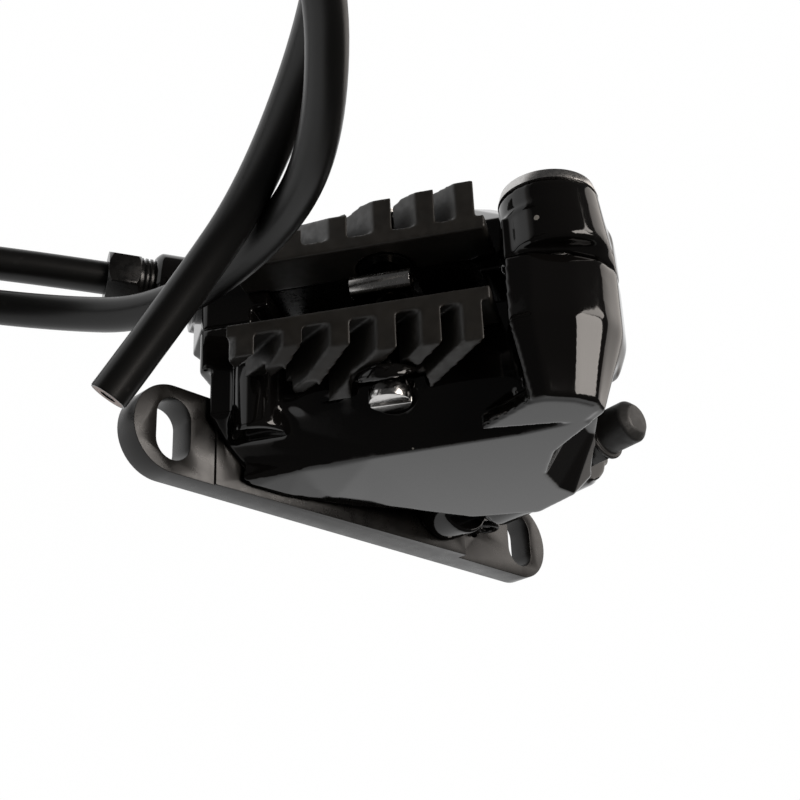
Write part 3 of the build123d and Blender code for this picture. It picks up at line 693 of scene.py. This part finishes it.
def new_slab(outline, way):
    """A slab with the given front corners, as thick as the way is long."""
    bpy.ops.object.select_all(action="DESELECT")
    bpy.ops.mesh.primitive_circle_add(vertices=len(outline), fill_type="NGON")
    piece = bpy.context.object
    for vertex, corner in zip(piece.data.vertices, outline):
        vertex.co = corner
    edit(piece)
    bpy.ops.mesh.quads_convert_to_tris()
    bpy.ops.mesh.extrude_region_move(TRANSFORM_OT_translate={"value": way})
    bpy.ops.object.mode_set(mode="OBJECT")
    return outward(piece)


def new_egg(middle, reaches):
    """A ball stretched along, away and out."""
    bpy.ops.object.select_all(action="DESELECT")
    bpy.ops.mesh.primitive_uv_sphere_add(segments=64, ring_count=32, radius=1)
    piece = bpy.context.object
    axes = Matrix((ALONG * reaches[0], AWAY * reaches[1], OUT * reaches[2])).transposed()
    piece.matrix_world = Matrix.Translation(middle) @ axes.to_4x4()
    bpy.ops.object.transform_apply()
    return outward(piece)


def fuse(piece, forms):
    """Joins forms into a piece."""
    only(piece)
    for form in forms:
        form.select_set(True)
    bpy.ops.object.join()


def carve(piece, tools):
    """Cuts tools away from a piece one by one."""
    for tool in tools:
        finish_modifier(piece, "BOOLEAN", operation="DIFFERENCE", solver="MANIFOLD", object=tool)
        bpy.data.objects.remove(tool)


def remesh(piece, voxel):
    """Makes a piece one closed skin of even faces."""
    finish_modifier(piece, "REMESH", mode="VOXEL", voxel_size=voxel, adaptivity=0.0)


def relax(piece, place, reach, repeats):
    """Smooths a piece fully in the inner half of the reach round a place, and less out to its end."""
    group = piece.vertex_groups.new(name="relaxed")
    for vertex in piece.data.vertices:
        share = 1 - (vertex.co - place).length / reach
        if share > 0:
            group.add([vertex.index], min(1.0, share * 2), "REPLACE")
    finish_modifier(piece, "SMOOTH", factor=RELAXING, iterations=repeats, vertex_group=group.name)
    piece.vertex_groups.clear()


def soften(piece, width, segments=2):
    """Rounds the piece's sharp edges and shades the rest smooth."""
    limits = {"limit_method": "ANGLE", "angle_limit": SHARP_ANGLE, "use_clamp_overlap": True}
    finish_modifier(piece, "BEVEL", width=width, segments=segments, **limits)
    only(piece)
    bpy.ops.object.shade_smooth_by_angle(angle=SHADE_ANGLE)


def shade_smooth(piece):
    """Shades all of a piece smooth."""
    only(piece)
    bpy.ops.object.shade_smooth()


def cover(piece, material):
    """Gives a piece one finish all over."""
    piece.data.materials.clear()
    piece.data.materials.append(material)


def settle(piece, node, body, material):
    """Gives a piece its finish and its body, and hides the node that it stands for."""
    cover(piece, material)
    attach(piece, body)
    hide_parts(node)
    slot_of(node)


def slot_of(node):
    """The record's material slot of a node."""
    for entry in frame["record"]["subparts"]:
        if entry["node"] == node:
            return entry["material_slot"]


def paint_node(node, material):
    """Gives a carried-over solid its finish."""
    cover(frame["nodes"][node], material)


class CALIPER_OT_camera(bpy.types.Operator):
    """Stand the camera at the photograph's place"""

    bl_idname = "caliper.camera"
    bl_label = "Camera"

    def execute(self, context):
        back = CAMERA_RIGHT.cross(CAMERA_TOP).normalized()
        up = back.cross(CAMERA_RIGHT)
        turn = Matrix((CAMERA_RIGHT, up, back)).transposed().to_euler()
        bpy.ops.object.camera_add(location=CAMERA_PLACE, rotation=turn)
        camera = context.object
        camera.name = "studio_camera"
        camera.data.lens = CAMERA_LENS
        camera.data.sensor_width = CAMERA_SENSOR
        camera.data.clip_start = CAMERA_NEAREST
        camera.data.clip_end = CAMERA_FURTHEST
        context.scene.camera = camera
        return {"FINISHED"}


class CALIPER_OT_hose(bpy.types.Operator):
    """Lay the brake hose along its two loops, with its cut end"""

    bl_idname = "caliper.hose"
    bl_label = "Brake Hose"

    def execute(self, context):
        start = INLET_FACE + INLET_WAY * HOSE_INNER
        straight = INLET_FACE + INLET_WAY * HOSE_STRAIGHT
        points = [start, straight] + [Vector(p) * MM for p in HOSE_ROUTE]
        line = bpy.data.curves.new("brake_hose_line", "CURVE")
        line.dimensions = "3D"
        spline = line.splines.new("NURBS")
        spline.points.add(len(points) - 1)
        for knot, point in zip(spline.points, points):
            knot.co = (*point, 1.0)
        spline.order_u = 3
        spline.use_endpoint_u = True
        spline.resolution_u = 12
        line.bevel_depth = sizes().hose_radius
        line.bevel_resolution = 8
        line.use_fill_caps = True
        hose = bpy.data.objects.new("hose_run", line)
        context.collection.objects.link(hose)
        hose.data.materials.append(hose_jacket())
        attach(hose, "caliper")
        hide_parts("brake_hose")
        end = self.cut_end(points[-1], (points[-1] - points[-2]).normalized())
        leaves = INLET_FACE + INLET_WAY * NUT_OUTER
        return {"FINISHED"}

    def cut_end(self, place, way):
        """The liner's ring and the bore in the hose's cut face."""
        bpy.ops.mesh.primitive_cylinder_add(
            vertices=48,
            radius=CUT_RADIUS,
            depth=CUT_THICKNESS,
            location=place,
            rotation=facing(way),
        )
        piece = bpy.context.object
        piece.name = "hose_cut_end"
        bpy.ops.object.transform_apply()
        bpy.ops.object.mode_set(mode="EDIT")
        bpy.ops.mesh.select_all(action="DESELECT")
        bpy.ops.object.mode_set(mode="OBJECT")
        for face in piece.data.polygons:
            face.select = face.normal.dot(way) > 0.9
        bpy.ops.object.mode_set(mode="EDIT")
        bpy.ops.mesh.inset(thickness=CUT_RIM)
        bpy.ops.mesh.inset(thickness=LINER_WALL)
        bpy.ops.mesh.extrude_region_move(TRANSFORM_OT_translate={"value": way * -BORE_DEPTH})
        bpy.ops.object.mode_set(mode="OBJECT")
        piece.data.materials.append(hose_liner())
        piece.data.materials.append(bpy.data.materials["hose_jacket"])
        for face in piece.data.polygons:
            middle = face.center - place
            depth = middle.dot(way)
            across = (middle - way * depth).length
            face.material_index = 1 if across > LINER_RADIUS or depth < 0 else 0
        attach(piece, "caliper")
        return piece


class CALIPER_OT_castings(bpy.types.Operator):
    """Round and paint the two body halves"""

    bl_idname = "caliper.castings"
    bl_label = "Body Castings"

    def execute(self, context):
        paint = casting_paint()
        for side in SIDES:
            node = side + "_body_half"
            piece = copy_of(node, side + "_casting", flatten=False)
            if side == "outboard":
                fuse(piece, self.first_forms())
                remesh(piece, sizes().voxel)
                carve(piece, self.hollows())
                fuse(piece, self.last_forms())
            else:
                fuse(piece, [new_cone(*COLUMN_CROWN)])
            remesh(piece, sizes().voxel)
            finish_modifier(piece, "SMOOTH", factor=SMOOTHING, iterations=sizes().casting_smoothing)
            for place, reach, repeats in RELAXED[side]:
                relax(piece, place, reach * MM, repeats)
            triangles = 2 * len(piece.data.polygons)
            finish_modifier(piece, "DECIMATE", ratio=min(1.0, MOST_TRIANGLES / triangles))
            shade_smooth(piece)
            settle(piece, node, "caliper", paint)
        return {"FINISHED"}

    def first_forms(self):
        """The apron that hangs past the plate and the tall boss at the hose end."""
        apron = new_slab([Vector(p) * MM for p in APRON], APRON_WAY)
        boss = new_cone(*TALL_BOSS)
        return [apron, boss]

    def hollows(self):
        """The basin beside the axle, the flank's slope, its crease and the nipple's notch."""
        basin = new_egg(*BASIN)
        slope = new_block(FLANK_SLOPE)
        crease = new_block(CREASE)
        notch = new_slab([Vector((x, NOTCH_FRONT, z)) * MM for x, z in NOTCH], NOTCH_WAY)
        return [basin, slope, crease, notch]

    def last_forms(self):
        """The column's toe over the crease, the bleed boss's skirt and rim, and the flank's left part."""
        toe = new_slab([local(along, away, TOE_FRONT) for along, away in COLUMN_TOE], TOE_WAY)
        skirt = new_cone(*BLEED_SKIRT)
        rim = new_slab([Vector((x, y, BLEED_RIM_HEIGHT)) * MM for x, y in BLEED_RIM], BLEED_RIM_WAY)
        wedge = new_block(LEFT_WEDGE)
        return [toe, skirt, rim, wedge]


class CALIPER_OT_adapter_plate(bpy.types.Operator):
    """Dress the adapter plate"""

    bl_idname = "caliper.adapter_plate"
    bl_label = "Adapter Plate"

    def execute(self, context):
        piece = copy_of("adapter_plate", "mounting_plate")
        soften(piece, sizes().plate_edge)
        settle(piece, "adapter_plate", "caliper", plate_anodising())
        return {"FINISHED"}


class CALIPER_OT_cooling_fins(bpy.types.Operator):
    """Dress the finned combs of both pads"""

    bl_idname = "caliper.cooling_fins"
    bl_label = "Cooling Fins"

    def execute(self, context):
        coating = fin_coating()
        for side in SIDES:
            piece = copy_of("pad_fins_" + side, side + "_comb")
            if side == "outboard":
                carve(piece, self.finger_rooms())
            remesh(piece, sizes().fin_voxel)
            finish_modifier(piece, "SMOOTH", factor=SMOOTHING, iterations=4)
            shade_smooth(piece)
            settle(piece, "pad_fins_" + side, side + "_pad", coating)
        return {"FINISHED"}

    def finger_rooms(self):
        """The blocks beyond the near comb's fingers."""
        rooms = []
        for low, high, start in FINGER_CUTS:
            corners = [
                (along, away, out)
                for away in FINGER_CUT_BAND
                for out in (start, FINGER_CUT_OUTER)
                for along in (low, high)
            ]
            rooms.append(new_block(corners))
        return rooms


class CALIPER_OT_steelwork(bpy.types.Operator):
    """Dress the screws, the spring, the clip and the hose's nut"""

    bl_idname = "caliper.steelwork"
    bl_label = "Steelwork"

    def execute(self, context):
        # The axle and the spring are painted dark, as shade, up to their bright starts.
        polished = bright_steel("polished_steel", 0.12, OUT, AXLE_BRIGHT)
        sprung = bright_steel("spring_steel", 0.16, AWAY, SPRING_BRIGHT)
        turned = bright_steel("turned_steel", 0.24)
        black = black_steel()
        steel = {
            "pad_axle": ("caliper", polished),
            "pad_spring": ("caliper", sprung),
            "bolt_fixing_clip": ("caliper", black),
            "upper_body_bolt": ("caliper", turned),
            "hose_nut": ("caliper", black),
            "bleed_nipple": ("nipple", black),
        }
        for node, (body, material) in steel.items():
            piece = copy_of(node, "dressed_" + node)
            if node == "upper_body_bolt":
                fuse(piece, [self.washer()])
            soften(piece, sizes().steel_edge)
            settle(piece, node, body, material)
        for node in ("lower_body_bolt", "axle_clip"):
            paint_node(node, turned)
        # The fixing bolts are blackened steel; the pads' backplates get the same black, partly as painted
        # shade where they sit deep between the pads.
        for node in ("caliper_fixing_bolts", "pad_backplate_outboard", "pad_backplate_inboard"):
            paint_node(node, black)
        return {"FINISHED"}

    def washer(self):
        """The washer round the column bolt's head."""
        ring = new_cone(*WASHER)
        carve(ring, [new_cone(*WASHER_HOLE)])
        return ring


class CALIPER_OT_inner_parts(bpy.types.Operator):
    """Finish the hidden parts and dress the bleed cap"""

    bl_idname = "caliper.inner_parts"
    bl_label = "Inner Parts and Cap"

    def execute(self, context):
        seal = rubber()
        metal = brass()
        resin = friction_resin()
        cup = moulded_piston()
        for side in SIDES:
            paint_node("piston_" + side, cup)
            paint_node("piston_seal_" + side, seal)
            paint_node("pad_friction_" + side, resin)
        paint_node("crossover_seal", seal)
        paint_node("olive", metal)
        paint_node("hose_insert", metal)
        cap = copy_of("bleed_cap", "dressed_bleed_cap")
        soften(cap, sizes().cap_edge, segments=3)
        settle(cap, "bleed_cap", "cap", seal)
        return {"FINISHED"}


class CALIPER_OT_studio(bpy.types.Operator):
    """Lay the pale floor and hang the soft lamps"""

    bl_idname = "caliper.studio"
    bl_label = "Studio"

    def execute(self, context):
        low = CAD_BOX[0][2] - sizes().floor_drop
        bpy.ops.object.select_all(action="DESELECT")
        bpy.ops.mesh.primitive_plane_add(size=PAPER_WIDTH, location=(0, 0, low))
        floor = context.object
        floor.name = "studio_floor"
        floor.data.materials.append(self.floor_white())
        for name, place, width, power in LAMPS:
            self.lamp(name, place, width, power)
        self.world(context.scene)
        context.scene.view_settings.view_transform = "Standard"
        return {"FINISHED"}

    def floor_white(self):
        """White to the eye and in reflections of what is near, and grey paper to all other light."""
        finish = Finish("floor_white")
        kinds = ("Is Camera Ray", "Is Glossy Ray", "Is Transmission Ray")
        seen, mirrored, bent = [finish.node("ShaderNodeLightPath", output=kind) for kind in kinds]
        span = {"operation": "LENGTH"}
        distance = finish.node("ShaderNodeVectorMath", span, {0: finish.place}, output="Value")
        near = finish.ramp(distance, PAPER_REACH, PAPER_END, 1.0, PAPER_LEFT)
        shown = seen.high(mirrored.high(bent) * near)
        paper = finish.node("ShaderNodeBsdfDiffuse", values={"Color": PAPER_GREY})
        glow = finish.node("ShaderNodeEmission", values={"Color": WHITE, "Strength": 1.0})
        mix = finish.node("ShaderNodeMixShader", values={0: shown * PAPER_WHITE, 1: paper, 2: glow})
        finish.join(finish.end.inputs["Surface"], mix)
        return finish.material

    def lamp(self, name, place, width, power):
        """A square soft lamp that faces the caliper."""
        bpy.ops.object.light_add(type="AREA", location=place, rotation=facing(Vector(place)))
        lamp = bpy.context.object
        lamp.name = name
        lamp.data.shape = "SQUARE"
        lamp.data.size = width
        lamp.data.energy = power
        lamp.data.color = LAMP_COLOUR

    def world(self, scene):
        """A dim white room all round, which the camera itself sees as plain white."""
        world = bpy.data.worlds.new("studio_world")
        scene.world = world
        world.use_nodes = True
        tree = world.node_tree
        back = tree.nodes["Background"]
        back.inputs["Color"].default_value = WHITE
        path = tree.nodes.new("ShaderNodeLightPath")
        strength = tree.nodes.new("ShaderNodeMapRange")
        strength.inputs["To Min"].default_value = WORLD_GLOW
        tree.links.new(path.outputs["Is Camera Ray"], strength.inputs["Value"])
        tree.links.new(strength.outputs["Result"], back.inputs["Strength"])


class CALIPER_PT_panel(bpy.types.Panel):
    """The caliper's operators and its sizes and colours"""

    bl_idname = "CALIPER_PT_panel"
    bl_label = "Caliper"
    bl_space_type = "VIEW_3D"
    bl_region_type = "UI"
    bl_category = "Caliper"

    def draw(self, context):
        for operator in OPERATORS:
            self.layout.operator(operator.bl_idname)
        for group in (context.scene.caliper_sizes, context.scene.caliper_colours):
            for key in group.bl_rna.properties.keys():
                if key not in ("rna_type", "name"):
                    self.layout.prop(group, key)


OPERATORS = (
    CALIPER_OT_camera,
    CALIPER_OT_hose,
    CALIPER_OT_castings,
    CALIPER_OT_adapter_plate,
    CALIPER_OT_cooling_fins,
    CALIPER_OT_steelwork,
    CALIPER_OT_inner_parts,
    CALIPER_OT_studio,
)
CLASSES = (CaliperSizes, CaliperColours, *OPERATORS, CALIPER_PT_panel)


def register():
    for item in CLASSES:
        bpy.utils.register_class(item)
    bpy.types.Scene.caliper_sizes = PointerProperty(type=CaliperSizes)
    bpy.types.Scene.caliper_colours = PointerProperty(type=CaliperColours)


def unregister():
    del bpy.types.Scene.caliper_colours
    del bpy.types.Scene.caliper_sizes
    for item in reversed(CLASSES):
        bpy.utils.unregister_class(item)


def main():
    register()
    bpy.ops.caliper.camera()
    bpy.ops.caliper.hose()
    bpy.ops.caliper.castings()
    bpy.ops.caliper.adapter_plate()
    bpy.ops.caliper.cooling_fins()
    bpy.ops.caliper.steelwork()
    bpy.ops.caliper.inner_parts()
    bpy.ops.caliper.studio()


if __name__ == "__main__":
    main()
